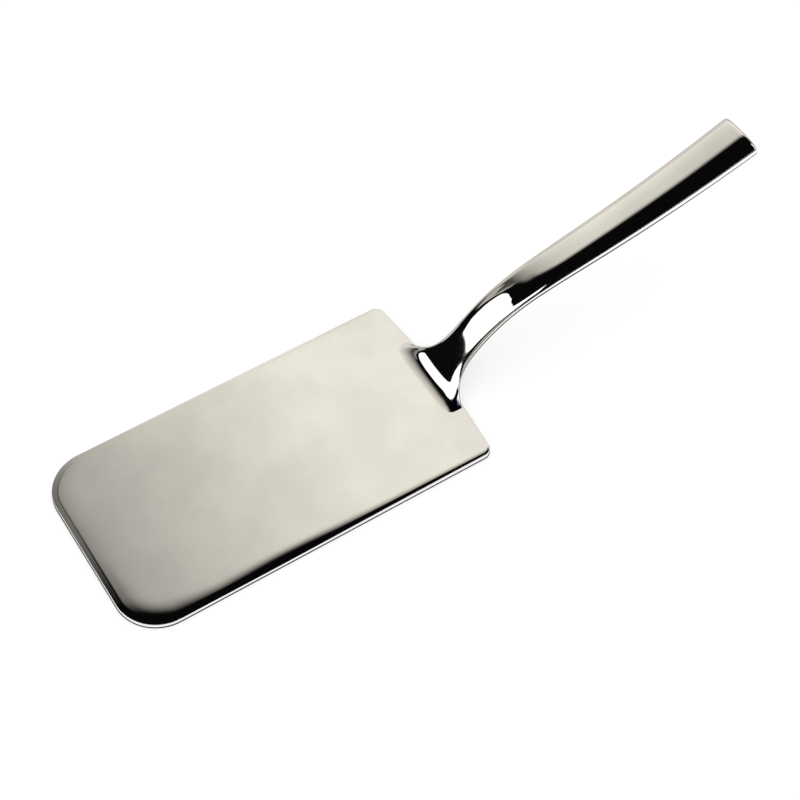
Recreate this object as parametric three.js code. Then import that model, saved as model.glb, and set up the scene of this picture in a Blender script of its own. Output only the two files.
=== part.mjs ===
// Serving spatula: a flat blade with a thinned border, and a cranked hollow handle welded to it.
// Millimetres, +Z up. The origin is the centre of the blade's flat underside. +X runs from the
// blade's front edge to the handle, and +Y is the left side as the spatula is held.
import * as THREE from 'three';

// Blade
const bladeLength = 142.4; // front edge to the rear corners
const bladeWidth = 77.8;
const bladeThickness = 2;
const frontCornerRadius = 16.2;
const rearCornerRadius = 3.7;
const rearSweep = 3.1; // how far the middle of the rear edge stands back from its corners
const borderWidth = 2.3; // thinned border at the front edge
const borderDrop = 0.2; // how far the border falls at the front edge
const rearBorderWidth = 0.8; // the border tapers to this at the rear corners
const rearBorderDrop = 0.06;
const edgeBreak = 0.2; // all sharp edges of the sheet are eased by this

// Handle axis: one smooth sweep in the middle plane, from the blade's rear to the end of the grip.
// It leaves the blade at the foot's slope, levels out round the bend and then rises slowly again.
const footInset = 0.7; // where the axis meets the table plane, in front of the rear corner line
const footSlope = 45.9; // degrees
const bendAngle = 44.6; // degrees
const bendAt = 37.7; // along the axis
const bendSpread = 8.8; // the bend takes about five times this length
const riseRate = 0.119; // degrees for each millimetre
const handleLength = 148.2;

// Handle section: half an oval above its widest line, the crown, and half an oval below it, the belly
const waistHalfWidth = 5.85;
const endHalfWidth = 9.5;
const footFlare = 10.6; // how much wider each side is where the neck stands on the blade
const flareHeight = 3.72; // the flare shrinks to a third with each such step in height
const footCrown = 1.4;
const endCrown = 4.2;
const crownGrowth = 1.6; // 1 grows evenly from foot to end, more grows sooner
const footBelly = 0.9;
const endBelly = 5.1;
const bellyGrowth = 3;
const faceSquareness = 2.6; // front face at the foot: 2 is an oval, more is squarer
const squareHeight = 11; // the front face has become an oval at this height

// Neck and grip: a solid forging up to the knee, then two pressed half shells over its tang, and a cap
const kneeAt = 55; // along the axis
const shellWall = 0.8;
const seamWidth = 0.5; // weld between the two shells, along both sides
const shoulderWeldWidth = 0.6; // weld between the neck's shoulder and the shells
const spigotLength = 4; // the part of the neck that the shells sit on
const tangLength = 46; // from the knee
const tangHalfWidth = 4.2;
const tangHalfHeight = 1;
const tangTipShare = 0.7; // the tang tapers to this share of its section
const fillerLength = 62; // from the knee
const capThickness = 2.4;
const capSpigotLength = 3;
const capRound = 1.5;

// Weld fillet round the neck's foot, ground hollow
const weldRise = 2.9; // up the middle of the front face
const weldEndRise = 0.5; // at its two ends
const weldReachFront = 3.1;
const weldReachSide = 1.6;
const toeSquareness = 5; // of the line where the fillet runs out on the blade
const weldNeckHold = 0.55; // how far the fillet follows the neck's face on its way down
const weldToeHold = 0.7; // how far it lies along the blade before its toe

// Clearances
const weldGap = 0.1; // at welded faces
const fitGap = 0.2; // between pieces that slide together or are bedded in cement

// How finely curves are divided
const sectionSides = 40;
const axisSteps = 400;
const neckSteps = 18;
const footCrowding = 1.3; // above 1, the neck's rings lie closer together towards the foot
const gripSteps = 18;
const tangSteps = 9;
const cornerSteps = { front: 14, rear: 6 };
const weldSteps = 5;
const rimSteps = 3;
const halvings = 40; // of a length, when a distance is searched for

const radians = THREE.MathUtils.degToRad;
const lerp = THREE.MathUtils.lerp;
const clamp = THREE.MathUtils.clamp;

const finish = (color, roughness, metalness) =>
  new THREE.MeshStandardMaterial({ color, roughness, metalness });
const polishedSteel = () => finish(0xd6d4cd, 0.08, 1);
const groundWeld = () => finish(0xc9c6c2, 0.14, 1);
const cement = () => finish(0xa79f90, 0.92, 0);

const steps = (from, to, count) => Array.from({ length: count + 1 }, (_, i) => lerp(from, to, i / count));

// A closed skin through rings of equal length, capped at both ends or joined end to end.
// A cap zips the first half of its ring to the second half, which suits ovals and open C sections.
function skin(rings, endless = false) {
  const count = rings[0].length;
  const faces = [];
  const quad = (a, b, c, d) => faces.push(a, b, c, a, c, d);
  const spans = endless ? rings.length : rings.length - 1;
  for (let r = 0; r < spans; r++) {
    const here = r * count;
    const next = ((r + 1) % rings.length) * count;
    for (let i = 0; i < count; i++) {
      const j = (i + 1) % count;
      quad(here + i, here + j, next + j, next + i);
    }
  }
  const zip = (start, turned) => {
    for (let i = 0, j = count - 1; i + 1 < j; i++, j--) {
      const corners = i + 1 === j - 1 ? [i, i + 1, j] : [i, i + 1, j - 1, j];
      const placed = corners.map((corner) => start + corner);
      if (turned) placed.reverse();
      faces.push(placed[0], placed[1], placed[2]);
      if (placed.length === 4) faces.push(placed[0], placed[2], placed[3]);
    }
  };
  if (!endless) {
    zip(0, true);
    zip((rings.length - 1) * count, false);
  }
  return facingOut(rings.flat(), faces);
}

// Builds the geometry and turns every face if the signed volume comes out negative.
function facingOut(points, faces) {
  let volume = 0;
  const cross = new THREE.Vector3();
  for (let f = 0; f < faces.length; f += 3) {
    const [a, b, c] = [points[faces[f]], points[faces[f + 1]], points[faces[f + 2]]];
    volume += a.dot(cross.crossVectors(b, c));
  }
  const geometry = new THREE.BufferGeometry().setFromPoints(points);
  geometry.setIndex(volume < 0 ? faces.reverse() : faces);
  return geometry;
}

// Blade outline, inset by one amount at the front and another at the rear, with the sides in between.
// Every outline has the same points: rear vertex, then the four corners from rear left to rear right.
const rearLean = Math.atan2(rearSweep, bladeWidth / 2);
const rearNormal = new THREE.Vector2(Math.cos(rearLean), Math.sin(rearLean));
const rearLine = rearNormal.dot(new THREE.Vector2(bladeLength / 2, bladeWidth / 2));

function bladeOutline(frontInset, rearInset) {
  const rearCentreY = bladeWidth / 2 - rearCornerRadius;
  const rearCentreX = (rearLine - rearCornerRadius - rearNormal.y * rearCentreY) / rearNormal.x;
  const frontCentreX = -bladeLength / 2 + frontCornerRadius;
  const frontCentreY = bladeWidth / 2 - frontCornerRadius;
  const arc = (x, y, radius, from, to, count) =>
    steps(from, to, count).map((angle) =>
      new THREE.Vector2(x + radius * Math.cos(angle), y + radius * Math.sin(angle)));
  const rear = arc(
    rearCentreX, rearCentreY, rearCornerRadius - rearInset, rearLean, Math.PI / 2, cornerSteps.rear,
  );
  const front = arc(
    frontCentreX, frontCentreY, frontCornerRadius - frontInset, Math.PI / 2, Math.PI, cornerSteps.front,
  );
  const left = [...rear, ...front];
  const right = left.map((p) => new THREE.Vector2(p.x, -p.y)).reverse();
  const vertex = new THREE.Vector2((rearLine - rearInset) / rearNormal.x, 0);
  return [vertex, ...left, ...right];
}

// A ring of the blade: its outline at one height at the front and another at the rear.
function bladeRing(frontInset, rearInset, frontZ, rearZ) {
  return bladeOutline(frontInset, rearInset).map((p) => {
    const share = clamp(p.x / bladeLength + 0.5, 0, 1);
    return new THREE.Vector3(p.x, p.y, lerp(frontZ, rearZ, share));
  });
}

function makeBlade() {
  const top = bladeThickness;
  const frontEdge = top - borderDrop;
  const rearEdge = top - rearBorderDrop;
  return skin([
    bladeRing(edgeBreak, edgeBreak, 0, 0),
    bladeRing(0, 0, edgeBreak, edgeBreak),
    bladeRing(0, 0, frontEdge - edgeBreak, rearEdge - edgeBreak),
    bladeRing(edgeBreak, edgeBreak, frontEdge, rearEdge),
    bladeRing(borderWidth, rearBorderWidth, top, top),
  ]);
}

// The axis lies in the middle plane and is drawn as (x, z). The bend is a smooth step of the slope.
const bendShare = (distance) => 1 / (1 + Math.exp((bendAt - distance) / bendSpread));

function axisWay(distance) {
  const turned = bendAngle * (bendShare(distance) - bendShare(0));
  const slope = radians(footSlope - turned + riseRate * distance);
  return new THREE.Vector2(Math.cos(slope), Math.sin(slope));
}

// The axis is added up from short straight steps, each along the way at its middle.
const axisStep = handleLength / axisSteps;
const axisPoints = [new THREE.Vector2(bladeLength / 2 - footInset, 0)];
for (let i = 0; i < axisSteps; i++) {
  axisPoints.push(axisPoints[i].clone().addScaledVector(axisWay((i + 0.5) * axisStep), axisStep));
}

function axisPoint(distance) {
  const place = clamp(distance / axisStep, 0, axisSteps);
  const before = Math.min(Math.floor(place), axisSteps - 1);
  return axisPoints[before].clone().lerp(axisPoints[before + 1], place - before);
}

const ovalSquareness = 2;

// A station holds a point of the axis, the direction along it, and the section's sizes there.
function station(distance) {
  const share = clamp(distance / handleLength, 0, 1);
  const point = axisPoint(distance);
  const height = Math.max(point.y - bladeThickness, 0);
  return {
    point,
    along: axisWay(distance),
    halfWidth: lerp(waistHalfWidth, endHalfWidth, share) + footFlare * Math.exp(-height / flareHeight),
    crown: lerp(endCrown, footCrown, (1 - share) ** crownGrowth),
    belly: lerp(endBelly, footBelly, (1 - share) ** bellyGrowth),
    squareness: lerp(faceSquareness, ovalSquareness, Math.min(height / squareHeight, 1)),
  };
}

// A point of the section: across is the way to the left, up is square to the axis.
function place(at, across, up) {
  return new THREE.Vector3(at.point.x - at.along.y * up, across, at.point.y + at.along.x * up);
}

// Squareness is a superellipse's exponent: 2 is an ellipse.
const bulge = (value, squareness) => Math.sign(value) * Math.abs(value) ** (2 / squareness);

function sectionPoint(distance, angle, inset = 0) {
  const at = station(distance);
  const inFront = Math.sin(angle) >= 0;
  const squareness = inFront ? at.squareness : ovalSquareness;
  const rise = (inFront ? at.crown : at.belly) - inset;
  const across = (at.halfWidth - inset) * bulge(Math.cos(angle), squareness);
  return place(at, across, rise * bulge(Math.sin(angle), squareness));
}

const turns = Array.from({ length: sectionSides }, (_, i) => (2 * Math.PI * i) / sectionSides);

function sectionRing(distance, inset = 0) {
  return turns.map((angle) => sectionPoint(distance, angle, inset));
}

// The tang is an oval bar that tapers to its tip.
function tangRing(fromKnee, clearance = 0) {
  const at = station(kneeAt + fromKnee);
  const taper = lerp(1, tangTipShare, clamp(fromKnee / tangLength, 0, 1));
  return turns.map((angle) => {
    const across = (tangHalfWidth * taper + clearance) * Math.cos(angle);
    return place(at, across, (tangHalfHeight * taper + clearance) * Math.sin(angle));
  });
}

// How far along the axis the skin at this angle reaches a height, found by halving.
function distanceAtHeight(height, angle) {
  let [low, high] = [0, kneeAt];
  for (let i = 0; i < halvings; i++) {
    const middle = (low + high) / 2;
    if (sectionPoint(middle, angle).z < height) low = middle;
    else high = middle;
  }
  return low;
}

// The neck stands on the blade. Up to the height of the weld its rings are the weld's own.
const footHeight = bladeThickness + weldGap;
const weldRiseAt = (angle) => lerp(weldEndRise, weldRise, Math.sqrt(Math.max(Math.sin(angle), 0)));
const weldedDistances = (angle) => {
  const top = distanceAtHeight(footHeight + weldRiseAt(angle), angle);
  return steps(distanceAtHeight(footHeight, angle), top, weldSteps);
};

const bedding = shellWall + fitGap; // inset of whatever sits inside the shells

function makeNeck() {
  const welded = turns.map((angle) => weldedDistances(angle).map((d) => sectionPoint(d, angle)));
  const shares = steps(0, 1, neckSteps).slice(1).map((share) => share ** footCrowding);
  const weldTops = turns.map((angle) => weldedDistances(angle)[weldSteps]);
  return skin([
    ...steps(0, weldSteps, weldSteps).map((i) => welded.map((column) => column[i])),
    ...shares.map((share) => turns.map((angle, i) => sectionPoint(lerp(weldTops[i], kneeAt, share), angle))),
    sectionRing(kneeAt, bedding),
    sectionRing(kneeAt + spigotLength, bedding),
    ...steps(spigotLength, tangLength, tangSteps).map((d) => tangRing(d)),
  ]);
}

// Where the neck's skin stands on the blade at this angle.
const footPoint = (angle) => sectionPoint(distanceAtHeight(footHeight, angle), angle).setZ(footHeight);

// The weld's toe is a squarish line round the foot, from one side of the neck to the other.
function toePoint(angle) {
  const [side, front] = [footPoint(0), footPoint(Math.PI / 2)];
  const forward = side.x - front.x + weldReachFront;
  const out = (side.y + weldReachSide) * bulge(Math.cos(angle), toeSquareness);
  return new THREE.Vector3(side.x - forward * bulge(Math.sin(angle), toeSquareness), out, footHeight);
}

// One slice of the weld: up the neck's face from the root, then back down a hollow curve to the toe.
function weldSlice(angle) {
  const nearby = radians(1);
  const run = footPoint(angle + nearby).sub(footPoint(angle - nearby));
  const out = new THREE.Vector3(run.y, -run.x, 0).setLength(weldGap);
  const inner = weldedDistances(angle).map((d) => sectionPoint(d, angle).add(out));
  inner[0].z = footHeight;
  const [root, top] = [inner[0], inner[weldSteps]];
  const down = inner[weldSteps - 1].clone().sub(top).normalize();
  const fall = (top.z - footHeight) / -down.z;
  const toe = toePoint(angle);
  const leaving = top.clone().addScaledVector(down, weldNeckHold * fall);
  const arriving = toe.clone().lerp(root, weldToeHold);
  const face = new THREE.CubicBezierCurve3(top, leaving, arriving, toe);
  return [...inner, ...face.getPoints(weldSteps + 1).slice(1)];
}

function makeFootWeld() {
  return skin(steps(0, Math.PI, sectionSides / 2).map(weldSlice));
}

// The shells lie between the shoulder weld and the cap.
const shellStart = kneeAt + shoulderWeldWidth + 2 * weldGap;
const shellEnd = handleLength - capThickness - weldGap;
const shellDistances = steps(shellStart, shellEnd, gripSteps);

// A half shell's section: the outer arc one way and the inner arc back, ending flat beside the seam.
function shellRing(distance, side) {
  const { crown, belly } = station(distance);
  const rise = side > 0 ? crown : belly;
  const arc = (inset) => {
    const start = Math.asin(seamWidth / 2 / (rise - inset));
    return steps(start, Math.PI - start, sectionSides / 2).map((angle) =>
      sectionPoint(distance, side * angle, inset));
  };
  return [...arc(0), ...arc(shellWall).reverse()];
}

function makeShell(side) {
  return skin(shellDistances.map((distance) => shellRing(distance, side)));
}

// A seam weld fills the slot between the two shells' rims on one side.
function seamRing(distance, side) {
  const at = station(distance);
  const half = seamWidth / 2 - weldGap;
  const corner = (inset, up) => {
    const rise = up > 0 ? at.crown : at.belly;
    const narrowing = Math.sqrt(1 - (up / (rise - inset)) ** 2);
    return place(at, side * (at.halfWidth - inset) * narrowing, up);
  };
  return [corner(0, -half), corner(0, half), corner(shellWall, half), corner(shellWall, -half)];
}

function makeSeamWeld(side) {
  return skin(shellDistances.map((distance) => seamRing(distance, side)));
}

function makeShoulderWeld() {
  const near = kneeAt + weldGap;
  const far = near + shoulderWeldWidth;
  const rings = [sectionRing(near), sectionRing(far), sectionRing(far, shellWall), sectionRing(near, shellWall)];
  return skin(rings, true);
}

// The cap closes the grip: a disc with a rounded rim, and a spigot inside the shells.
function makeEndCap() {
  const rim = steps(Math.PI / 2, 0, rimSteps).map((angle) => {
    const inset = capRound * (1 - Math.cos(angle));
    return sectionRing(handleLength - capRound * (1 - Math.sin(angle)), inset);
  });
  const face = handleLength - capThickness;
  return skin([
    ...rim,
    sectionRing(face),
    sectionRing(face, bedding),
    sectionRing(face - capSpigotLength, bedding),
  ]);
}

// The cement holds the tang: a plug with a blind slot for it, open towards the neck.
function makeFiller() {
  const near = spigotLength + fitGap;
  const slotEnd = tangLength + fitGap;
  return skin([
    ...steps(slotEnd, near, tangSteps).map((d) => tangRing(d, fitGap)),
    ...steps(near, fillerLength, tangSteps).map((d) => sectionRing(kneeAt + d, bedding)),
  ]);
}

const spatula = new THREE.Group();
const add = (name, geometry, material) => {
  const mesh = new THREE.Mesh(geometry, material);
  mesh.name = name;
  spatula.add(mesh);
};

add('blade', makeBlade(), polishedSteel());
add('neck', makeNeck(), polishedSteel());
add('foot_weld', makeFootWeld(), groundWeld());
add('grip_upper_shell', makeShell(1), polishedSteel());
add('grip_lower_shell', makeShell(-1), polishedSteel());
add('grip_end_cap', makeEndCap(), polishedSteel());
add('shoulder_weld', makeShoulderWeld(), groundWeld());
add('seam_weld_left', makeSeamWeld(1), groundWeld());
add('seam_weld_right', makeSeamWeld(-1), groundWeld());
add('tang_cement', makeFiller(), cement());

export default spatula;
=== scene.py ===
import bpy
import numpy as np
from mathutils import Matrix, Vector


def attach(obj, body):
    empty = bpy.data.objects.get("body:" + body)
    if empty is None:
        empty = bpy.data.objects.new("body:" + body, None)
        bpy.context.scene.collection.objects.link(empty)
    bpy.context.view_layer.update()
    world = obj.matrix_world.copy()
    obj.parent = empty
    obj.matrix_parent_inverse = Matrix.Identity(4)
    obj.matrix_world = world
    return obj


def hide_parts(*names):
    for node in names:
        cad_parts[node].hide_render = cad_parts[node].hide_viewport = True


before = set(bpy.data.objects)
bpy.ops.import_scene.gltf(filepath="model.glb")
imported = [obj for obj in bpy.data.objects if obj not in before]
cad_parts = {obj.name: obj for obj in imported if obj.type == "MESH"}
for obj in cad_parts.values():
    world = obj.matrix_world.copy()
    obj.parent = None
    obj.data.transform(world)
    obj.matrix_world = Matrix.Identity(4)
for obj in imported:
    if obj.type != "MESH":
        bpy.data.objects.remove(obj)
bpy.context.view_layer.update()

mm = 0.001
print("frame loaded:", len(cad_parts), "nodes")

# camera: looks at a point on the table from a distance, azimuth from -Y towards +X, in degrees and mm
cameraSetup = {
    "lens": 80.23,
    "sensor": 36.0,
    "target": (55.69, -1.2, 0.0),
    "distance": 651.8,
    "azimuth": -32.24,
    "elevation": 54.78,
    "clipEnd": 50.0,  # in metres
}


def makeCamera(setup):
    # back = (sin a cos e, -cos a cos e, sin e), from the target to the camera
    a, e = np.radians([setup["azimuth"], setup["elevation"]])
    back = np.array([np.sin(a) * np.cos(e), -np.cos(a) * np.cos(e), np.sin(e)])
    data = bpy.data.cameras.new("photoCamera")
    data.lens = setup["lens"]
    data.sensor_width = setup["sensor"]
    data.clip_end = setup["clipEnd"]
    camera = bpy.data.objects.new("photoCamera", data)
    bpy.context.scene.collection.objects.link(camera)
    camera.location = Vector((np.array(setup["target"]) + back * setup["distance"]) * mm)
    camera.rotation_mode = "QUATERNION"
    camera.rotation_quaternion = Vector(-back).to_track_quat("-Z", "Y")
    bpy.context.scene.camera = camera


makeCamera(cameraSetup)
bpy.context.scene.view_settings.view_transform = "Standard"


# mesh helpers: a grid is rows x columns x 3, in mm, and its columns close on themselves
def lerp(a, b, t):
    return a + (b - a) * t


def smooth(a, b, t):
    # 0 below a, 1 above b, 3s^2 - 2s^3 between
    s = np.clip((t - a) / (b - a), 0.0, 1.0)
    return s * s * (3.0 - 2.0 * s)


def newObject(name, points, faces, material, sharpAngle=40.0):
    mesh = bpy.data.meshes.new(name)
    mesh.from_pydata((points * mm).tolist(), [], faces.tolist())
    mesh.validate()
    mesh.shade_smooth()
    mesh.set_sharp_from_angle(angle=np.radians(sharpAngle))
    mesh.materials.append(material)
    piece = bpy.data.objects.new(name, mesh)
    bpy.context.scene.collection.objects.link(piece)
    return piece


def loft(name, grid, material, sharpAngle=40.0, endless=False):
    # quads between neighbouring rings; each end ring is zipped shut, point i against point m-1-i
    rows, m = grid.shape[:2]
    index = np.arange(rows * m).reshape(rows, m)
    ahead = np.roll(index, -1, axis=0) if endless else index[1:]
    here = index if endless else index[:-1]
    beside = np.roll(here, -1, axis=1)
    faces = [np.stack([here, beside, np.roll(ahead, -1, axis=1), ahead], axis=-1).reshape(-1, 4)]
    if not endless:
        i = np.arange(m // 2 - 1)
        zipped = np.stack([i, i + 1, m - 2 - i, m - 1 - i], axis=-1)
        faces += [zipped[:, ::-1], zipped + (rows - 1) * m]
    faces = np.concatenate(faces)
    points = grid.reshape(-1, 3)
    # six times the signed volume tells which way the faces look
    a, b, c, d = (points[faces[:, k]] for k in range(4))
    volume = np.sum(a * np.cross(b, c)) + np.sum(a * np.cross(c, d))
    return newObject(name, points, faces[:, ::-1] if volume < 0 else faces, material, sharpAngle)


# material helpers
def startMaterial(name):
    material = bpy.data.materials.new(name)
    material.use_nodes = True
    return material, material.node_tree


def addNode(tree, kind, settings=None, **inputs):
    # inputs: a number or colour is set, a socket is linked; i0, i1 count sockets, and _ stands for a space
    node = tree.nodes.new(kind)
    for key, value in (settings or {}).items():
        setattr(node, key, value)
    for key, value in inputs.items():
        numbered = key[0] == "i" and key[1:].isdigit()
        socket = node.inputs[int(key[1:]) if numbered else key.replace("_", " ")]
        if isinstance(value, bpy.types.NodeSocket):
            tree.links.new(value, socket)
        else:
            socket.default_value = value
    return node


def objectPoint(tree, scale=(1.0, 1.0, 1.0)):
    coords = addNode(tree, "ShaderNodeTexCoord")
    mapping = addNode(tree, "ShaderNodeMapping", Vector=coords.outputs["Object"], Scale=scale)
    return mapping.outputs["Vector"]


def noise(tree, vector, scale, detail, roughness):
    values = {"Scale": scale, "Detail": detail, "Roughness": roughness}
    return addNode(tree, "ShaderNodeTexNoise", Vector=vector, **values).outputs["Fac"]


def math(tree, operation, a, b=0.0):
    node = addNode(tree, "ShaderNodeMath", {"operation": operation}, i0=a, i1=b)
    return node.outputs[0]


def spread(tree, value, low, high, toLow, toHigh):
    # low..high becomes toLow..toHigh in a straight line, and stays there outside
    node = addNode(tree, "ShaderNodeMapRange", Value=value)
    for key, number in (("From Min", low), ("From Max", high), ("To Min", toLow), ("To Max", toHigh)):
        node.inputs[key].default_value = number
    return node.outputs["Result"]


def softStep(tree, value, low, high, toLow=0.0, toHigh=1.0):
    result = spread(tree, value, low, high, toLow, toHigh)
    result.node.interpolation_type = "SMOOTHSTEP"
    return result


def mixColour(tree, factor, a, b):
    node = addNode(tree, "ShaderNodeMix", {"data_type": "RGBA"})
    for index, value in ((0, factor), (6, a), (7, b)):
        if isinstance(value, bpy.types.NodeSocket):
            tree.links.new(value, node.inputs[index])
        else:
            node.inputs[index].default_value = value
    return node.outputs[2]


# polished steel: buffed along the length, with faint haze, wiping smears and shallow waves in the sheet
steelLook = {
    "pale": (0.80, 0.79, 0.77, 1.0),
    "deep": (0.74, 0.73, 0.715, 1.0),
    "roughLow": 0.02,
    "roughHigh": 0.05,
    "along": (0.05, 1.0, 1.0),  # smears and scratches are drawn out along the length
    "haze": (38.0, 5.0, 0.55),  # scale, detail and roughness of each noise
    "smear": (150.0, 3.0, 0.6),
    "scratch": (900.0, 2.0, 0.5),
    "wave": (26.0, 1.0, 0.4),
    "cloudEdge": (0.36, 0.64),
    "hazeShare": 0.6,
    "smearShare": 0.4,
    "grimeEdge": (0.35, 0.65),
    "waveHeight": 0.006 * mm,
    "scratchHeight": 0.0006 * mm,
}


def makeSteel(name, look):
    # grime = haze and smear mixed, and it sets the roughness; the haze alone clouds the colour
    material, tree = startMaterial(name)
    shader = tree.nodes["Principled BSDF"]
    shader.inputs["Metallic"].default_value = 1.0
    plain = objectPoint(tree)
    buffed = objectPoint(tree, scale=look["along"])
    haze = noise(tree, plain, *look["haze"])
    smear = noise(tree, buffed, *look["smear"])
    scratch = noise(tree, buffed, *look["scratch"])
    cloud = softStep(tree, haze, *look["cloudEdge"])
    tree.links.new(mixColour(tree, cloud, look["pale"], look["deep"]), shader.inputs["Base Color"])
    smearPart = math(tree, "MULTIPLY", smear, look["smearShare"])
    grime = math(tree, "ADD", math(tree, "MULTIPLY", haze, look["hazeShare"]), smearPart)
    rough = spread(tree, grime, *look["grimeEdge"], look["roughLow"], look["roughHigh"])
    tree.links.new(rough, shader.inputs["Roughness"])
    waves = addNode(tree, "ShaderNodeBump", Height=noise(tree, plain, *look["wave"]))
    waves.inputs["Distance"].default_value = look["waveHeight"]
    lines = addNode(tree, "ShaderNodeBump", Height=scratch, Normal=waves.outputs["Normal"])
    lines.inputs["Distance"].default_value = look["scratchHeight"]
    tree.links.new(lines.outputs["Normal"], shader.inputs["Normal"])
    return material


# the handle's copy of the steel is painted a little brighter than the blade's, a painted brightness
# standing in for its brighter reflections, and it is smoother; the ground weld is a little duller
paintedBrightHandleLook = {
    **steelLook,
    # painted brightness: the same steel in a lighter colour, for the handle's brighter reflections
    "pale": (0.92, 0.905, 0.875, 1.0),
    "deep": (0.86, 0.845, 0.82, 1.0),
    "scratchHeight": 0.00015 * mm,
}
weldLook = {
    **steelLook,
    "roughLow": 0.025,
    "roughHigh": 0.06,
    "scratchHeight": 0.0003 * mm,
}
steel = makeSteel("polishedSteel", steelLook)
handleSteel = makeSteel("handleSteel", paintedBrightHandleLook)
weldSteel = makeSteel("groundWeld", weldLook)

# the foot weld's right end kept a bluish heat tint and a few grinding lumps
heatMark = {
    "centre": np.array([71.2, -16.2, 2.2]) * mm,
    "tintReach": (1.2 * mm, 3.6 * mm),
    "lumpReach": (2.0 * mm, 7.0 * mm),
    "ragged": 2.0 * mm,
    "colour": (0.15, 0.10, 0.30, 1.0),
    "lump": (520.0, 2.0, 0.5),
    "lumpMiddle": 0.5,
    "lumpHeight": 0.05 * mm,
}


def addHeatMark(material, mark):
    # distance from the centre, made ragged with noise, fades the tint and the lumps out
    tree = material.node_tree
    shader = tree.nodes["Principled BSDF"]
    plain = objectPoint(tree)
    away = addNode(tree, "ShaderNodeVectorMath", {"operation": "DISTANCE"}, i0=plain, i1=mark["centre"])
    lump = noise(tree, plain, *mark["lump"])
    ragged = math(tree, "MULTIPLY", math(tree, "SUBTRACT", lump, mark["lumpMiddle"]), mark["ragged"])
    ragged = math(tree, "ADD", away.outputs["Value"], ragged)
    tint = softStep(tree, ragged, *mark["tintReach"], 1.0, 0.0)
    base = shader.inputs["Base Color"]
    tree.links.new(mixColour(tree, tint, base.links[0].from_socket, mark["colour"]), base)
    lumpy = math(tree, "MULTIPLY", lump, softStep(tree, ragged, *mark["lumpReach"], 1.0, 0.0))
    normal = shader.inputs["Normal"]
    bump = addNode(tree, "ShaderNodeBump", Height=lumpy, Normal=normal.links[0].from_socket)
    bump.inputs["Distance"].default_value = mark["lumpHeight"]
    tree.links.new(bump.outputs["Normal"], normal)


addHeatMark(weldSteel, heatMark)

# cement that beds the tang: chalky, with grit and air pits
cementLook = {
    "pale": (0.50, 0.46, 0.39, 1.0),
    "dark": (0.30, 0.27, 0.23, 1.0),
    "grit": (900.0, 6.0, 0.7),
    "gritEdge": (0.3, 0.7),
    "rough": (0.82, 0.98),
    "pit": 0.2 * mm,
}


def makeCement(look):
    material, tree = startMaterial("beddingCement")
    shader = tree.nodes["Principled BSDF"]
    grit = noise(tree, objectPoint(tree), *look["grit"])
    tree.links.new(mixColour(tree, grit, look["dark"], look["pale"]), shader.inputs["Base Color"])
    tree.links.new(spread(tree, grit, *look["gritEdge"], *look["rough"]), shader.inputs["Roughness"])
    bump = addNode(tree, "ShaderNodeBump", Height=grit)
    bump.inputs["Distance"].default_value = look["pit"]
    tree.links.new(bump.outputs["Normal"], shader.inputs["Normal"])
    return material


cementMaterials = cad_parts["tang_cement"].data.materials
cementMaterials.clear()
cementMaterials.append(makeCement(cementLook))
print("materials made")

# blade: a sheet with rolled-off top, pressed border and upright edge
blade = {
    "halfLength": 71.2,
    "halfWidth": 38.9,
    "thickness": 2.0,
    "rearSweep": 3.1,
    "frontCorner": 16.2,
    "rearCorner": 3.7,
    "border": 2.3,  # width of the pressed border at the front
    "rearShare": 0.3,  # the border and the roll-off shrink to this share at the rear
    "crease": 0.4,  # narrow steeper strip along the border's inner line
    "creaseSlope": 5.0,
    "borderSlope": 3.6,
    "sideSteep": 1.75,  # the border falls this much faster along the two sides
    "rollWidth": 9.0,  # the top falls off gently over this width inside the border
    "rollSlope": 1.9,
    "dentGain": 0.8,  # the right side falls off this much more round a shallow dent
    "dentX": -13.0,
    "dentReach": 24.0,
    "creaseBlur": (0.1, 0.15),  # half the width over which the crease starts, and over which it ends
    "edgeRound": 0.2,
    "underRound": 0.25,
    "rowGap": 0.02,  # between the last row of one strip and the first of the next
    "rollRows": 26,
    "creaseRows": 6,
    "borderRows": 14,
    "edgeRows": 9,
    "underRows": 7,
    "cornerSteps": 40,
    "rearCornerSteps": 20,
    "sideSteps": 60,
    "endSteps": 24,
    "sharpAngle": 50.0,
}


def bladeOutline(b, frontInset, rearInset):
    # left side from the middle of the rear edge to the middle of the front edge, then mirrored back;
    # corner arcs keep their centres while the inset shrinks their radii
    lean = np.arctan2(b["rearSweep"], b["halfWidth"])
    rearLine = np.cos(lean) * b["halfLength"] + np.sin(lean) * b["halfWidth"]
    rearCentre = np.array([0.0, b["halfWidth"] - b["rearCorner"]])
    rearCentre[0] = (rearLine - b["rearCorner"] - np.sin(lean) * rearCentre[1]) / np.cos(lean)
    frontCentre = np.array([b["frontCorner"] - b["halfLength"], b["halfWidth"] - b["frontCorner"]])

    def arc(centre, radius, start, end, steps):
        angle = np.linspace(start, end, steps + 1)
        return centre + radius * np.stack([np.cos(angle), np.sin(angle)], axis=-1)

    def run(a, c, steps):
        return lerp(a, c, np.linspace(0.0, 1.0, steps + 1)[1:-1, None])

    rear = arc(rearCentre, b["rearCorner"] - rearInset, lean, np.pi / 2, b["rearCornerSteps"])
    front = arc(frontCentre, b["frontCorner"] - frontInset, np.pi / 2, np.pi, b["cornerSteps"])
    tip = np.array([(rearLine - rearInset) / np.cos(lean), 0.0])
    nose = np.array([frontInset - b["halfLength"], 0.0])
    left = np.concatenate([
        run(tip, rear[0], b["endSteps"]), rear,
        run(rear[-1], front[0], b["sideSteps"]), front,
        run(front[-1], nose, b["endSteps"]),
    ])
    return np.concatenate([left, left[::-1] * [1.0, -1.0]])


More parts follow.
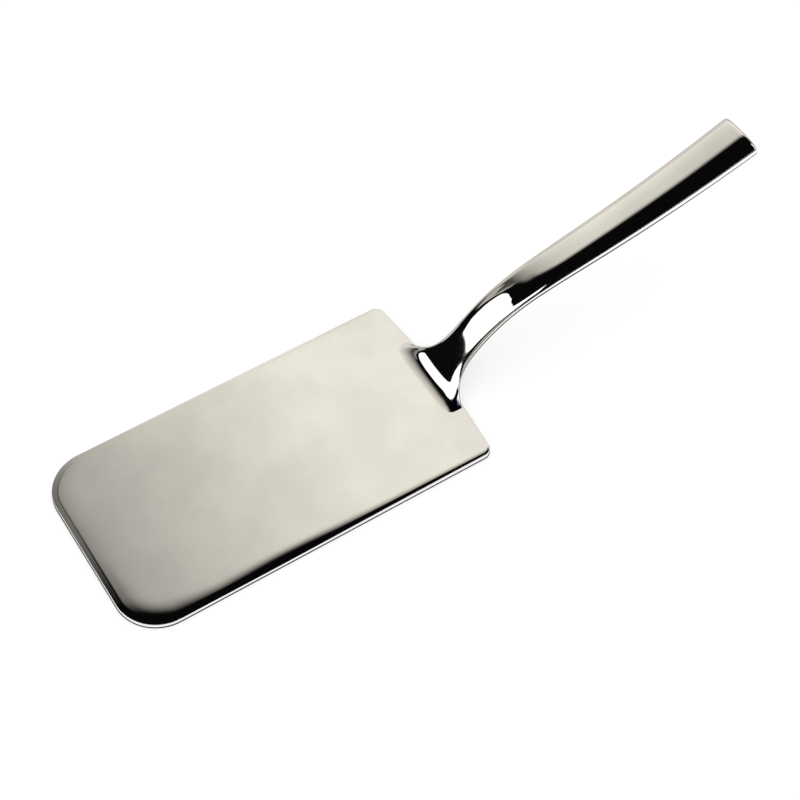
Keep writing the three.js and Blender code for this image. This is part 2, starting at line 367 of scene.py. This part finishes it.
def bladeProfile(b):
    # each row's inset from the edge, and its drop, which adds up tan(slope) from the flat outwards;
    # slope = roll (1 - u)^2 over the roll-off, then the crease's, then the border's
    edge, gap = b["edgeRound"], b["rowGap"]
    creaseStart, creaseEnd = b["border"], b["border"] - b["crease"]
    inside = np.concatenate([
        np.linspace(creaseStart + b["rollWidth"], creaseStart + gap, b["rollRows"]),
        np.linspace(creaseStart, creaseEnd, b["creaseRows"]),
        np.linspace(creaseEnd - gap, edge + gap, b["borderRows"]),
        [edge],
    ])
    beyond = np.clip((inside - creaseStart) / b["rollWidth"], 0.0, 1.0)
    slope = np.where(inside > creaseStart, b["rollSlope"] * (1.0 - beyond) ** 2, b["borderSlope"])
    startBlur, endBlur = b["creaseBlur"]
    creased = smooth(creaseStart + startBlur, creaseStart - startBlur, inside)
    creased = creased * smooth(creaseEnd - endBlur, creaseEnd + endBlur, inside)
    slope = lerp(slope, b["creaseSlope"], creased)
    fall = np.tan(np.radians(slope))
    drop = np.concatenate([[0.0], np.cumsum(0.5 * (fall[1:] + fall[:-1]) * -np.diff(inside))])
    return inside, drop


def makeBlade(b):
    # rings of the outline, from the flat top out over the edge and in under the blade
    inside, drop = bladeProfile(b)
    top = b["thickness"]
    quarter = np.radians(np.linspace(b["borderSlope"], 90.0, b["edgeRows"])[1:])
    under = np.radians(np.linspace(90.0, 180.0, b["underRows"]))
    rim = b["edgeRound"] * (np.cos(np.radians(b["borderSlope"])) - np.cos(quarter))
    rimInset = b["edgeRound"] * (1.0 - np.sin(quarter))
    share = b["rearShare"]
    rings = []

    def ring(frontInset, rearInset, fall, lower):
        # the fall grows where the outline runs along the blade and in the dent,
        # and shrinks towards the rear
        flat = bladeOutline(b, frontInset, rearInset)
        back = np.clip(flat[:, 0] / (2.0 * b["halfLength"]) + 0.5, 0.0, 1.0)
        run = np.roll(flat, -1, axis=0) - np.roll(flat, 1, axis=0)
        sideways = run[:, 0] ** 2 / (run ** 2).sum(axis=1)
        fall = fall * lerp(1.0, b["sideSteep"], sideways) * lerp(1.0, share, back)
        dent = np.exp(-((flat[:, 0] - b["dentX"]) / b["dentReach"]) ** 2) * (flat[:, 1] < 0.0)
        fall = fall * (1.0 + b["dentGain"] * dent)
        rings.append(np.column_stack([flat, top - fall - lower]))

    for d, fall in zip(inside, drop):
        ring(d, b["edgeRound"] + (d - b["edgeRound"]) * share, fall, 0.0)
    for inset, lower in zip(rimInset, rim):
        ring(inset, inset, drop[-1], lower)
    for angle in under:
        inset = b["underRound"] * (1.0 - np.sin(angle))
        ring(inset, inset, 0.0, top - b["underRound"] * (1.0 + np.cos(angle)))
    return loft("bladeSheet", np.stack(rings), steel, sharpAngle=b["sharpAngle"])


bladePiece = makeBlade(blade)
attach(bladePiece, "root")
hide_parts("blade")
print("blade made")

# handle: one smooth sweep in the middle plane, from the blade's rear up to the end
handle = {
    "foot": 0.7,  # where the axis meets the table, in front of the blade's rear corner line
    "footSlope": 45.9,
    "bend": 44.6,  # the heading turns down by this along a smooth step, then rises slowly again
    "bendAt": 37.7,
    "bendScale": 8.8,
    "risePerMm": 0.119,
    "length": 148.2,
    "kneeAt": 55.0,  # the neck ends and the grip begins here
    "waistHalfWidth": 5.85,
    "endHalfWidth": 9.5,
    "flare": 10.6,  # extra half width on the blade; it dies away by e over each flareScale of height
    "flareScale": 3.72,
    "footCrown": 1.4,
    "endCrown": 4.2,
    "crownPower": 1.6,
    "footBelly": 0.9,
    "endBelly": 5.1,
    "bellyPower": 3.0,
    "crownSquareness": 2.6,  # 2 is an oval; more is flatter on top with fuller sides
    "bellySquareness": 2.0,
    "axisSteps": 1500,
    "halvings": 40,
}


def handleAxis(h):
    # heading = foot slope - bend * (step(s) - step(0)) + rise * s,
    # with step(s) = 1 / (1 + e^((at - s) / scale)), and the path adds up the headings
    length = np.linspace(0.0, h["length"], h["axisSteps"])
    step = 1.0 / (1.0 + np.exp((h["bendAt"] - length) / h["bendScale"]))
    heading = np.radians(h["footSlope"] - h["bend"] * (step - step[0]) + h["risePerMm"] * length)
    way = np.stack([np.cos(heading), np.sin(heading)], axis=-1)
    moves = 0.5 * (way[1:] + way[:-1]) * np.diff(length)[:, None]
    start = np.array([[blade["halfLength"] - h["foot"], 0.0]])
    return np.concatenate([start, start + np.cumsum(moves, axis=0)]), way, length


axisPath, axisWay, axisLength = handleAxis(handle)
kneeAt, endAt = handle["kneeAt"], handle["length"]


def along(table, distance):
    # a place or heading on the axis, read off between its steps
    return np.stack([np.interp(distance, axisLength, table[:, k]) for k in (0, 1)], axis=-1)


def riseAt(distance, side, h=handle):
    # crown above or belly below the widest line: end - (end - foot) (1 - share)^power
    name = "Crown" if side > 0 else "Belly"
    share = np.clip(distance / endAt, 0.0, 1.0)
    return lerp(h["end" + name], h["foot" + name], (1.0 - share) ** h[name.lower() + "Power"])


def angleAt(up, distance, inset=0.0, h=handle):
    # the section's angle at a height above or below the widest line: sin = (|up| / rise)^(n/2)
    rise = np.where(up >= 0.0, riseAt(distance, 1), riseAt(distance, -1)) - inset
    square = np.where(up >= 0.0, h["crownSquareness"], h["bellySquareness"])
    return np.sign(up) * np.arcsin((np.abs(up) / rise) ** (0.5 * square))


def sectionGrid(distance, angle, inset=0.0, h=handle):
    # across = w |cos|^(2/n), up = r |sin|^(2/n),
    # with the crown's n above the widest line and the belly's n below it
    distance, angle = np.broadcast_arrays(distance, angle)
    point = along(axisPath, distance)
    way = along(axisWay, distance)
    height = np.maximum(point[..., 1] - blade["thickness"], 0.0)
    width = lerp(h["waistHalfWidth"], h["endHalfWidth"], distance / endAt)
    width = width + h["flare"] * np.exp(-height / h["flareScale"])
    c, s = np.cos(angle), np.sin(angle)
    power = 2.0 / np.where(s >= 0.0, h["crownSquareness"], h["bellySquareness"])
    across = (width - inset) * np.sign(c) * np.abs(c) ** power
    rise = np.where(s >= 0.0, riseAt(distance, 1), riseAt(distance, -1)) - inset
    up = rise * np.sign(s) * np.abs(s) ** power
    return np.stack([point[..., 0] - way[..., 1] * up, across, point[..., 1] + way[..., 0] * up], axis=-1)


def distanceAtHeight(height, angle):
    # how far along the axis the skin at this angle reaches a height, by halving
    low = np.zeros(np.shape(angle))
    high = np.full(np.shape(angle), kneeAt)
    for _ in range(handle["halvings"]):
        middle = 0.5 * (low + high)
        under = sectionGrid(middle, angle)[..., 2] < height
        low, high = np.where(under, middle, low), np.where(under, high, middle)
    return low


# neck: from the blade's top to the shoulder, then the spigot and tang that the grip hides
neck = {
    "lowest": 1.8,  # it starts this high, just inside the blade
    "sides": 192,
    "steps": 180,
    "crowding": 1.4,  # more than 1 sets the rows closer at the foot
    "tangSteps": 24,
    "spigot": 4.0,
    "tang": 46.0,
    "bedding": 1.0,  # the spigot lies this far inside the grip's outside
    "tangHalfWidth": 4.2,
    "tangHalfHeight": 1.0,
    "tangTip": 0.7,
}


def tangGrid(distance, angle, n):
    # an oval bar that tapers evenly to its tip, centred on the axis
    taper = lerp(1.0, n["tangTip"], np.clip(distance / n["tang"], 0.0, 1.0))
    point, way = along(axisPath, kneeAt + distance), along(axisWay, kneeAt + distance)
    across = n["tangHalfWidth"] * taper * np.cos(angle)
    up = n["tangHalfHeight"] * taper * np.sin(angle)
    return np.stack([point[..., 0] - way[..., 1] * up, across, point[..., 1] + way[..., 0] * up], axis=-1)


def makeNeck(n):
    # the handle's section carried from the foot to the shoulder, then stepped in to spigot and tang
    angle = 2.0 * np.pi * (np.arange(n["sides"]) + 0.5) / n["sides"]
    start = distanceAtHeight(n["lowest"], angle)
    share = np.linspace(0.0, 1.0, n["steps"])[:, None] ** n["crowding"]
    outside = sectionGrid(lerp(start, kneeAt, share), angle)
    spigot = sectionGrid(kneeAt + np.array([[0.0], [n["spigot"]]]), angle, n["bedding"])
    tangRows = np.linspace(n["spigot"], n["tang"], n["tangSteps"])[:, None]
    tang = tangGrid(tangRows * np.ones_like(angle), angle, n)
    return loft("neckForging", np.concatenate([outside, spigot, tang]), handleSteel)


neckPiece = makeNeck(neck)
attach(neckPiece, "root")
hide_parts("neck")
print("neck made")

# foot weld: a ground fillet; each slice is a cubic curve that leaves the neck along its skin
# and lies down at the toe
footWeld = {
    "frontRise": 2.93,  # how far it climbs the neck in front, and at its two ends
    "sideRise": 0.5,
    "sideEnds": 0.4,  # the climb grows from the ends to the front over this share of sin(angle)
    "rightSwell": 0.5,  # the fillet climbs this share higher towards its right end
    "swellFrom": (0.35, 0.95),
    "toeFront": 5.6,  # how far the toe lies in front of the rear corner line
    "toeLeft": 18.6,
    "toeRight": 17.4,
    "toeBack": 0.8,  # where the toe ends, behind the rear corner line
    "squareness": 5.0,
    "neckHold": 0.64,  # length of the curve's two handles
    "toeHold": 0.64,
    "toeLift": 0.22,  # height of the second handle, so that the fillet meets the blade at a slight angle
    "leftLift": 0.12,  # and this much higher at the left end
    "leftFrom": (0.5, 0.95),
    "leastSteep": 0.2,
    "skinStep": 0.05,
    "sink": 0.3,
    "hiddenWidth": 0.94,  # the hidden inner edge, narrower and further back than the neck's foot
    "hiddenBack": 0.6,
    "slices": 160,
    "steps": 32,
    "sharpAngle": 60.0,
}


def makeFootWeld(w):
    # slice = (1-t)^3 upper + 3 (1-t)^2 t p1 + 3 (1-t) t^2 p2 + t^3 toe, with the toe on a squarish oval
    angle = np.linspace(0.0, np.pi, w["slices"])
    c, s = np.cos(angle), np.sin(angle)
    top = blade["thickness"]
    root = sectionGrid(distanceAtHeight(top, angle), angle)
    swell = 1.0 + w["rightSwell"] * smooth(*w["swellFrom"], -c)
    climb = lerp(w["sideRise"], w["frontRise"] * swell, smooth(0.0, w["sideEnds"], s))
    upperAt = distanceAtHeight(top + climb, angle)
    upper = sectionGrid(upperAt, angle)
    way = sectionGrid(upperAt - w["skinStep"], angle) - upper
    way = way / np.linalg.norm(way, axis=-1, keepdims=True)
    power = 2.0 / w["squareness"]
    reach = lerp(w["toeRight"], w["toeLeft"], smooth(-1.0, 1.0, c))
    toe = np.stack([
        blade["halfLength"] + lerp(w["toeBack"], -w["toeFront"], s ** power),
        reach * np.sign(c) * np.abs(c) ** power,
        np.full_like(c, top),
    ], axis=-1)
    inward = (root - toe) * [1.0, 1.0, 0.0]
    fall = (upper[:, 2] - top) / np.maximum(-way[:, 2], w["leastSteep"])
    p1 = upper + way * (fall * w["neckHold"])[:, None]
    lift = w["toeLift"] + w["leftLift"] * smooth(*w["leftFrom"], c)
    p2 = toe + inward * w["toeHold"] + np.outer(lift, [0.0, 0.0, 1.0])
    t = np.linspace(0.0, 1.0, w["steps"])[:, None, None]
    face = (1 - t) ** 3 * upper + 3 * (1 - t) ** 2 * t * p1 + 3 * (1 - t) * t ** 2 * p2 + t ** 3 * toe
    down = [0.0, 0.0, -w["sink"]]
    hidden = root * [1.0, w["hiddenWidth"], 1.0] + [w["hiddenBack"], 0.0, 0.0] + down
    grid = np.concatenate([face, [toe + down], [hidden]]).transpose(1, 0, 2)
    return loft("footWeld", grid, weldSteel, sharpAngle=w["sharpAngle"])


weldPiece = makeFootWeld(footWeld)
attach(weldPiece, "root")
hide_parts("foot_weld")
print("foot weld made")

# grip: two pressed half shells, welded along the sides and to the neck's shoulder, and a cap
grip = {
    "wall": 0.8,
    "seam": 0.5,
    "shoulder": 0.6,
    "steps": 150,
    "sides": 160,
    "cap": 2.4,
    "capSpigot": 3.0,
    "capRound": 1.1,
    "capFit": 0.2,  # play between the cap's spigot and the shells
    "capSides": 160,
    "capSteps": 14,
    "seamSteps": 9,
    "shoulderSteps": 4,
}


def gripRows(g):
    return np.linspace(kneeAt + g["shoulder"], endAt - g["cap"], g["steps"])[:, None]


def makeShell(g, name, node, side):
    # a C-shaped section: the outer arc one way and the inner arc back, ending flat beside the seam
    rows = gripRows(g)
    share = np.linspace(0.0, 1.0, g["sides"])
    arcs = []
    for inset in (0.0, g["wall"]):
        start = np.abs(angleAt(side * 0.5 * g["seam"], rows, inset))
        arcs.append(sectionGrid(rows, side * lerp(start, np.pi - start, share), inset))
    piece = loft(name, np.concatenate([arcs[0], arcs[1][:, ::-1]], axis=1), handleSteel)
    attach(piece, "root")
    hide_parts(node)


def makeSeam(g, name, node, side):
    # a strip that follows the oval from rim to rim, as deep as the shell's wall
    rows = gripRows(g)
    share = np.linspace(-1.0, 1.0, g["seamSteps"])
    turn = angleAt(0.5 * g["seam"] * share, rows)
    outer = sectionGrid(rows, turn if side > 0 else np.pi - turn)
    inner = outer - [0.0, side * g["wall"], 0.0]
    piece = loft(name, np.concatenate([outer, inner[:, ::-1]], axis=1), handleSteel)
    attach(piece, "root")
    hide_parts(node)


def makeShoulder(g):
    # a thin ring, flush with the neck and the shells
    angle = 2.0 * np.pi * (np.arange(g["capSides"]) + 0.5) / g["capSides"]
    rows = kneeAt + g["shoulder"] * np.linspace(0.0, 1.0, g["shoulderSteps"])[:, None]
    outer = sectionGrid(rows, angle)
    inner = sectionGrid(rows, angle, g["wall"])[::-1]
    piece = loft("shoulderWeld", np.concatenate([outer, inner]), handleSteel, endless=True)
    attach(piece, "root")
    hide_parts("shoulder_weld")


def makeCap(g):
    # a disc with a rounded rim: inset = r (1 - cos a), distance from the end = r (1 - sin a)
    angle = 2.0 * np.pi * (np.arange(g["capSides"]) + 0.5) / g["capSides"]
    turn = np.radians(np.linspace(90.0, 0.0, g["capSteps"]))[:, None]
    inset = g["capRound"] * (1.0 - np.cos(turn))
    rim = sectionGrid(endAt - g["capRound"] * (1.0 - np.sin(turn)), angle, inset)
    face = endAt - g["cap"]
    body = [sectionGrid(np.array([[face]]), angle)]
    for distance in (face, face - g["capSpigot"]):
        body.append(sectionGrid(np.array([[distance]]), angle, g["wall"] + g["capFit"]))
    piece = loft("gripEndCap", np.concatenate([rim, *body]), handleSteel)
    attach(piece, "root")
    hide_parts("grip_end_cap")


makeShell(grip, "gripUpperShell", "grip_upper_shell", 1)
makeShell(grip, "gripLowerShell", "grip_lower_shell", -1)
makeSeam(grip, "seamWeldLeft", "seam_weld_left", 1)
makeSeam(grip, "seamWeldRight", "seam_weld_right", -1)
makeShoulder(grip)
makeCap(grip)
print("grip made")

# studio: a white table, a pale card overhead, white boxes, and black, grey and pale walls around;
# azimuths from +X towards +Y and elevations are in degrees, seen from the centre
studio = {
    "centre": (87.0, 0.0, 15.0),
    "tableHalf": 4000.0,
    "tableZ": -0.4,
    "tableSteps": 9,
    "tableGlow": 0.58,
    "tableWhite": 0.42,
    "skyLight": 1.15,
    "nearGlow": 1.15,  # the table in reflections: white on the camera's side, dimmer and beige beyond
    "farGlow": (0.57, 0.55, 0.50, 1.0),
    "farY": (-30.0, 30.0),
    "nearEndY": (-260.0, -190.0),  # and dark again past the white sheet's near end
    "contact": 0.15,  # the painted contact shadow, a black sheet under the blade, shows this much
    "contactLift": 0.05,  # and lies this far above the table
    "shade": ((78.0, 260.0), (-32.0, 40.0)),  # what the handle keeps in shadow, seen in its own underside
    "shadeSoft": 8.0,
    "cardHeight": 1000.0,
    "boxRadius": 900.0,
    "boxGlow": 1.45,
    "black": 0.004,
    "blackRadius": 2600.0,
    "blackAzimuth": (90.0, 286.0),
    "blackElevation": (3.0, 50.0),
    "canopyAzimuth": (0.0, 360.0),
    "canopyElevation": (48.0, 90.0),
    "rearAzimuth": (-20.0, 60.0),
    "rearElevation": (0.0, 49.0),
    "rearGrey": 0.35,
    "paleAzimuth": (286.0, 341.0),  # a pale wall to the right, past the black one
    "paleElevation": (0.0, 50.0),
    "paleGlow": 0.70,
    "frontAzimuth": (214.0, 262.0),  # a grey panel in front, between what the neck and the grip mirror
    "frontElevation": (13.0, 28.0),
    "frontGlow": 0.45,
    "frontRadius": 1700.0,
}


def patch(name, points, material):
    # an open sheet for the stage, rows x columns, seen by reflections and light but not by the camera
    rows, cols = points.shape[:2]
    index = np.arange(rows * cols).reshape(rows, cols)
    corners = [index[:-1, :-1], index[:-1, 1:], index[1:, 1:], index[1:, :-1]]
    sheet = newObject(name, points.reshape(-1, 3), np.stack(corners, axis=-1).reshape(-1, 4), material)
    sheet.visible_camera = False
    sheet.visible_diffuse = False
    return sheet


def skyGrid(s, radius, azimuth, low, high, rows=40, cols=80):
    # part of a sphere round the centre, between two azimuths and two elevations or edges
    a = np.radians(np.linspace(azimuth[0], azimuth[1], cols))
    low, high = np.broadcast_to(low, cols), np.broadcast_to(high, cols)
    e = np.radians(lerp(low, high, np.linspace(0.0, 1.0, rows)[:, None]))
    way = np.stack([np.cos(a) * np.cos(e), np.sin(a) * np.cos(e), np.sin(e)], axis=-1)
    return np.array(s["centre"]) + radius * way


def makeGlow(name, strength, colour=(1.0, 1.0, 1.0, 1.0)):
    material, tree = startMaterial(name)
    tree.nodes.remove(tree.nodes["Principled BSDF"])
    glow = addNode(tree, "ShaderNodeEmission", Strength=strength, Color=colour)
    tree.links.new(glow.outputs[0], tree.nodes["Material Output"].inputs["Surface"])
    return material


def band(tree, value, low, high, soft):
    # 1 between low and high, fading to 0 over soft on both sides
    up = spread(tree, value, low - soft, low + soft, 0.0, 1.0)
    down = spread(tree, value, high - soft, high + soft, 1.0, 0.0)
    return math(tree, "MULTIPLY", up, down)


def seenByRay(tree, path):
    # 1 for rays that show a thing, straight or in metal or glass, and 0 for those that only light it
    seen = math(tree, "MAXIMUM", path.outputs["Is Camera Ray"], path.outputs["Is Glossy Ray"])
    return math(tree, "MAXIMUM", seen, path.outputs["Is Transmission Ray"])


def makeTable(s):
    # white to the camera, with a matt part that keeps the shadow; reflections see its tones and the shade
    material, tree = startMaterial("whiteTable")
    tree.nodes.remove(tree.nodes["Principled BSDF"])
    path = addNode(tree, "ShaderNodeLightPath")
    seen, mirrored = seenByRay(tree, path), path.outputs["Is Glossy Ray"]
    place = addNode(tree, "ShaderNodeSeparateXYZ", Vector=objectPoint(tree))
    x, y = place.outputs["X"], place.outputs["Y"]
    rangeX, rangeY = np.array(s["shade"]) * mm
    inX = band(tree, x, *rangeX, s["shadeSoft"] * mm)
    inY = band(tree, y, *rangeY, s["shadeSoft"] * mm)
    lit = math(tree, "SUBTRACT", 1.0, math(tree, "MULTIPLY", inX, inY))
    onSheet = spread(tree, y, *(np.array(s["nearEndY"]) * mm), 0.0, 1.0)
    lit = math(tree, "MULTIPLY", lit, onSheet)
    beyond = spread(tree, y, *(np.array(s["farY"]) * mm), 0.0, 1.0)
    tone = mixColour(tree, beyond, (*[s["nearGlow"]] * 3, 1.0), s["farGlow"])
    glow = addNode(tree, "ShaderNodeEmission")
    tree.links.new(math(tree, "MULTIPLY", seen, s["tableGlow"]), glow.inputs["Strength"])
    matt = addNode(tree, "ShaderNodeBsdfDiffuse", Color=(*[s["tableWhite"]] * 3, 1.0))
    direct = addNode(tree, "ShaderNodeAddShader", i0=glow.outputs[0], i1=matt.outputs[0])
    image = addNode(tree, "ShaderNodeEmission", Color=tone, Strength=lit)
    both = addNode(tree, "ShaderNodeMixShader", i0=mirrored, i1=direct.outputs[0], i2=image.outputs[0])
    tree.links.new(both.outputs[0], tree.nodes["Material Output"].inputs["Surface"])
    width = np.linspace(-1.0, 1.0, s["tableSteps"]) * s["tableHalf"]
    gridX, gridY = np.meshgrid(width, width)
    table = patch("table", np.stack([gridX, gridY, np.full_like(gridX, s["tableZ"])], axis=-1), material)
    table.visible_camera = True
    table.visible_diffuse = True


def makeContactShadow(s, black):
    # a black sheet painted as the contact shadow right under the blade: left half of the outline against
    # the right half
    outline = bladeOutline(blade, -s["contact"], -s["contact"])
    half = len(outline) // 2
    rows = np.stack([outline[:half], outline[half:][::-1]])
    flat = np.concatenate([rows, np.full((2, half, 1), s["tableZ"] + s["contactLift"])], axis=-1)
    patch("contactShadowSheet", flat, black).visible_camera = True


# overhead card and the wall behind it, in metres
card = {
    "x": (-0.80, 1.20),
    "y": (0.05, 1.90),
    "rampX": (-0.11, 0.35),
    "ramp": (0.08, 1.04),
    "tint": (1.0, 0.965, 0.88),
    "nearAt": 0.58,  # the near edge runs along y + nearLean * x = this
    "nearLean": 1.2,
    "nearLeast": 0.39,  # with its y kept between these two
    "nearMost": 0.53,
    "nearSoft": 0.08,
    "leftAt": 0.40,  # the left edge runs along x + leftLean * y = this
    "leftLean": 0.8,
    "leftSoft": (-0.05, 0.05),
    "dimY": (0.75, 1.40),  # beyond the first of these the card dims
    "dim": 0.84,
    "wallX": (-0.77, 1.20),
    "wallRamp": (-0.60, 0.00, 0.62),  # from this x to that, the wall's level grows by the third
    "wallRise": (0.00, 0.60, 0.08),
    "steps": 30,
    "wallRows": 12,
}


def makeOverheadCard(s, c):
    # pale beige, brighter towards +X, see-through beyond the soft edges nearest the camera and to the left
    material, tree = startMaterial("beigeCard")
    tree.nodes.remove(tree.nodes["Principled BSDF"])
    place = addNode(tree, "ShaderNodeSeparateXYZ", Vector=objectPoint(tree))
    x, y = place.outputs["X"], place.outputs["Y"]
    near = math(tree, "ADD", y, math(tree, "MULTIPLY", x, c["nearLean"]))
    left = math(tree, "ADD", x, math(tree, "MULTIPLY", y, c["leftLean"]))
    past = math(tree, "SUBTRACT", near, c["nearAt"])
    past = math(tree, "MAXIMUM", past, math(tree, "SUBTRACT", y, c["nearMost"]))
    past = math(tree, "MINIMUM", past, math(tree, "SUBTRACT", y, c["nearLeast"]))
    nearEdge = softStep(tree, past, -c["nearSoft"], c["nearSoft"])
    leftEdge = softStep(tree, math(tree, "SUBTRACT", left, c["leftAt"]), *c["leftSoft"])
    inside = math(tree, "MULTIPLY", nearEdge, leftEdge)
    level = spread(tree, x, *c["rampX"], *c["ramp"])
    level = math(tree, "MULTIPLY", level, spread(tree, y, *c["dimY"], 1.0, c["dim"]))
    glow = addNode(tree, "ShaderNodeEmission", Color=(*c["tint"], 1.0), Strength=level)
    clear = addNode(tree, "ShaderNodeBsdfTransparent")
    both = addNode(tree, "ShaderNodeMixShader", i0=inside, i1=clear.outputs[0], i2=glow.outputs[0])
    tree.links.new(both.outputs[0], tree.nodes["Material Output"].inputs["Surface"])
    cardX, cardY = np.meshgrid(*(np.linspace(*c[way], c["steps"]) / mm for way in ("x", "y")))
    patch("overheadCard", np.stack([cardX, cardY, np.full_like(cardX, s["cardHeight"])], axis=-1), material)
    heights = np.linspace(0.0, s["cardHeight"], c["wallRows"])
    wallX, wallZ = np.meshgrid(np.linspace(*c["wallX"], c["steps"]) / mm, heights)
    patch("backCard", np.stack([wallX, np.full_like(wallX, c["y"][1] / mm), wallZ], axis=-1), makeWall(c))


def makeWall(c):
    # the wall behind: dark at its left end, rising to beige, and a little brighter still towards +X
    material, tree = startMaterial("beigeWall")
    tree.nodes.remove(tree.nodes["Principled BSDF"])
    x = addNode(tree, "ShaderNodeSeparateXYZ", Vector=objectPoint(tree)).outputs["X"]
    left, right, level = c["wallRamp"]
    level = spread(tree, x, left, right, 0.0, level)
    left, right, rise = c["wallRise"]
    level = math(tree, "ADD", level, spread(tree, x, left, right, 0.0, rise))
    glow = addNode(tree, "ShaderNodeEmission", Color=(*c["tint"], 1.0), Strength=level)
    tree.links.new(glow.outputs[0], tree.nodes["Material Output"].inputs["Surface"])
    return material


# the soft box's corners in the sky: azimuth and elevation along its lower and its upper edge
box = {
    "low": (
        (122.0, 50.0), (129.0, 35.0), (135.0, 24.0), (144.0, 20.5), (166.0, 24.5),
        (184.0, 28.3), (193.0, 32.0), (205.0, 37.0), (222.0, 42.0), (268.0, 42.0),
    ),
    "high": ((122.0, 55.0), (135.0, 61.5), (170.0, 66.5), (201.0, 65.0), (268.0, 62.5)),
    "wing": ((300.0, 335.0), (46.0, 72.0)),  # a second, smaller box to the right
}

# a grey wall left of the overhead card, dimmer towards its top
side = {
    "low": ((103.0, 20.0), (122.0, 20.0)),
    "high": ((103.0, 57.0), (113.0, 54.0), (119.0, 48.0), (122.0, 34.0)),
    "radius": 1600.0,
    "heights": (0.95, 1.40),  # in metres
    "glow": (0.46, 0.22),
}


def cornered(s, radius, edges, cols=160):
    # part of the sky between a lower and an upper edge, both given by their corners
    low, high = (np.array(edges[edge]).T for edge in ("low", "high"))
    azimuth = np.linspace(low[0, 0], low[0, -1], cols)
    levels = [np.interp(azimuth, *edge) for edge in (low, high)]
    return skyGrid(s, radius, (azimuth[0], azimuth[-1]), *levels, cols=cols)


def makeSoftBox(s, b):
    # the soft box and its wing share one glow
    white = makeGlow("boxWhite", s["boxGlow"])
    patch("softBox", cornered(s, s["boxRadius"], b), white)
    azimuth, elevation = b["wing"]
    patch("wingBox", skyGrid(s, s["boxRadius"], azimuth, *elevation), white)


def makeGreySide(s, g, tint):
    # its glow falls in a straight line with height
    material = makeGlow("greySide", 1.0, (*tint, 1.0))
    tree = material.node_tree
    height = addNode(tree, "ShaderNodeSeparateXYZ", Vector=objectPoint(tree)).outputs["Z"]
    level = spread(tree, height, *g["heights"], *g["glow"])
    tree.links.new(level, tree.nodes["Emission"].inputs["Strength"])
    patch("greySide", cornered(s, g["radius"], g), material)


def makeBlack(s):
    black, tree = startMaterial("blackCard")
    shader = tree.nodes["Principled BSDF"]
    shader.inputs["Base Color"].default_value = (*[s["black"]] * 3, 1.0)
    shader.inputs["Roughness"].default_value = 1.0
    shader.inputs["Specular IOR Level"].default_value = 0.0
    return black


def makeDarkRoom(s, black, tint):
    # what the polished steel mirrors where no card or box stands
    pale = makeGlow("paleWall", s["paleGlow"], (*tint, 1.0))
    grey = makeGlow("greyPanel", s["frontGlow"], (*tint, 1.0))
    rear = makeGlow("greyWall", s["rearGrey"])
    far = s["blackRadius"]
    patch("blackSide", skyGrid(s, far, s["blackAzimuth"], *s["blackElevation"]), black)
    patch("paleSide", skyGrid(s, far, s["paleAzimuth"], *s["paleElevation"]), pale)
    patch("greyFront", skyGrid(s, s["frontRadius"], s["frontAzimuth"], *s["frontElevation"]), grey)
    patch("blackCanopy", skyGrid(s, far, s["canopyAzimuth"], *s["canopyElevation"]), black)
    patch("greyRear", skyGrid(s, far, s["rearAzimuth"], *s["rearElevation"]), rear)


def makeWorld(s):
    # white where it is seen, and a little stronger as light
    world = bpy.data.worlds.new("studioWorld")
    bpy.context.scene.world = world
    world.use_nodes = True
    tree = world.node_tree
    seen = seenByRay(tree, addNode(tree, "ShaderNodeLightPath"))
    strength = spread(tree, seen, 0.0, 1.0, s["skyLight"], 1.0)
    tree.links.new(strength, tree.nodes["Background"].inputs["Strength"])
    tree.nodes["Background"].inputs["Color"].default_value = (1.0, 1.0, 1.0, 1.0)


blackCard = makeBlack(studio)
makeTable(studio)
# a black sheet painted as the blade's contact shadow on the table
makeContactShadow(studio, blackCard)
makeOverheadCard(studio, card)
makeSoftBox(studio, box)
makeGreySide(studio, side, card["tint"])
makeDarkRoom(studio, blackCard, card["tint"])
makeWorld(studio)
print("studio made")
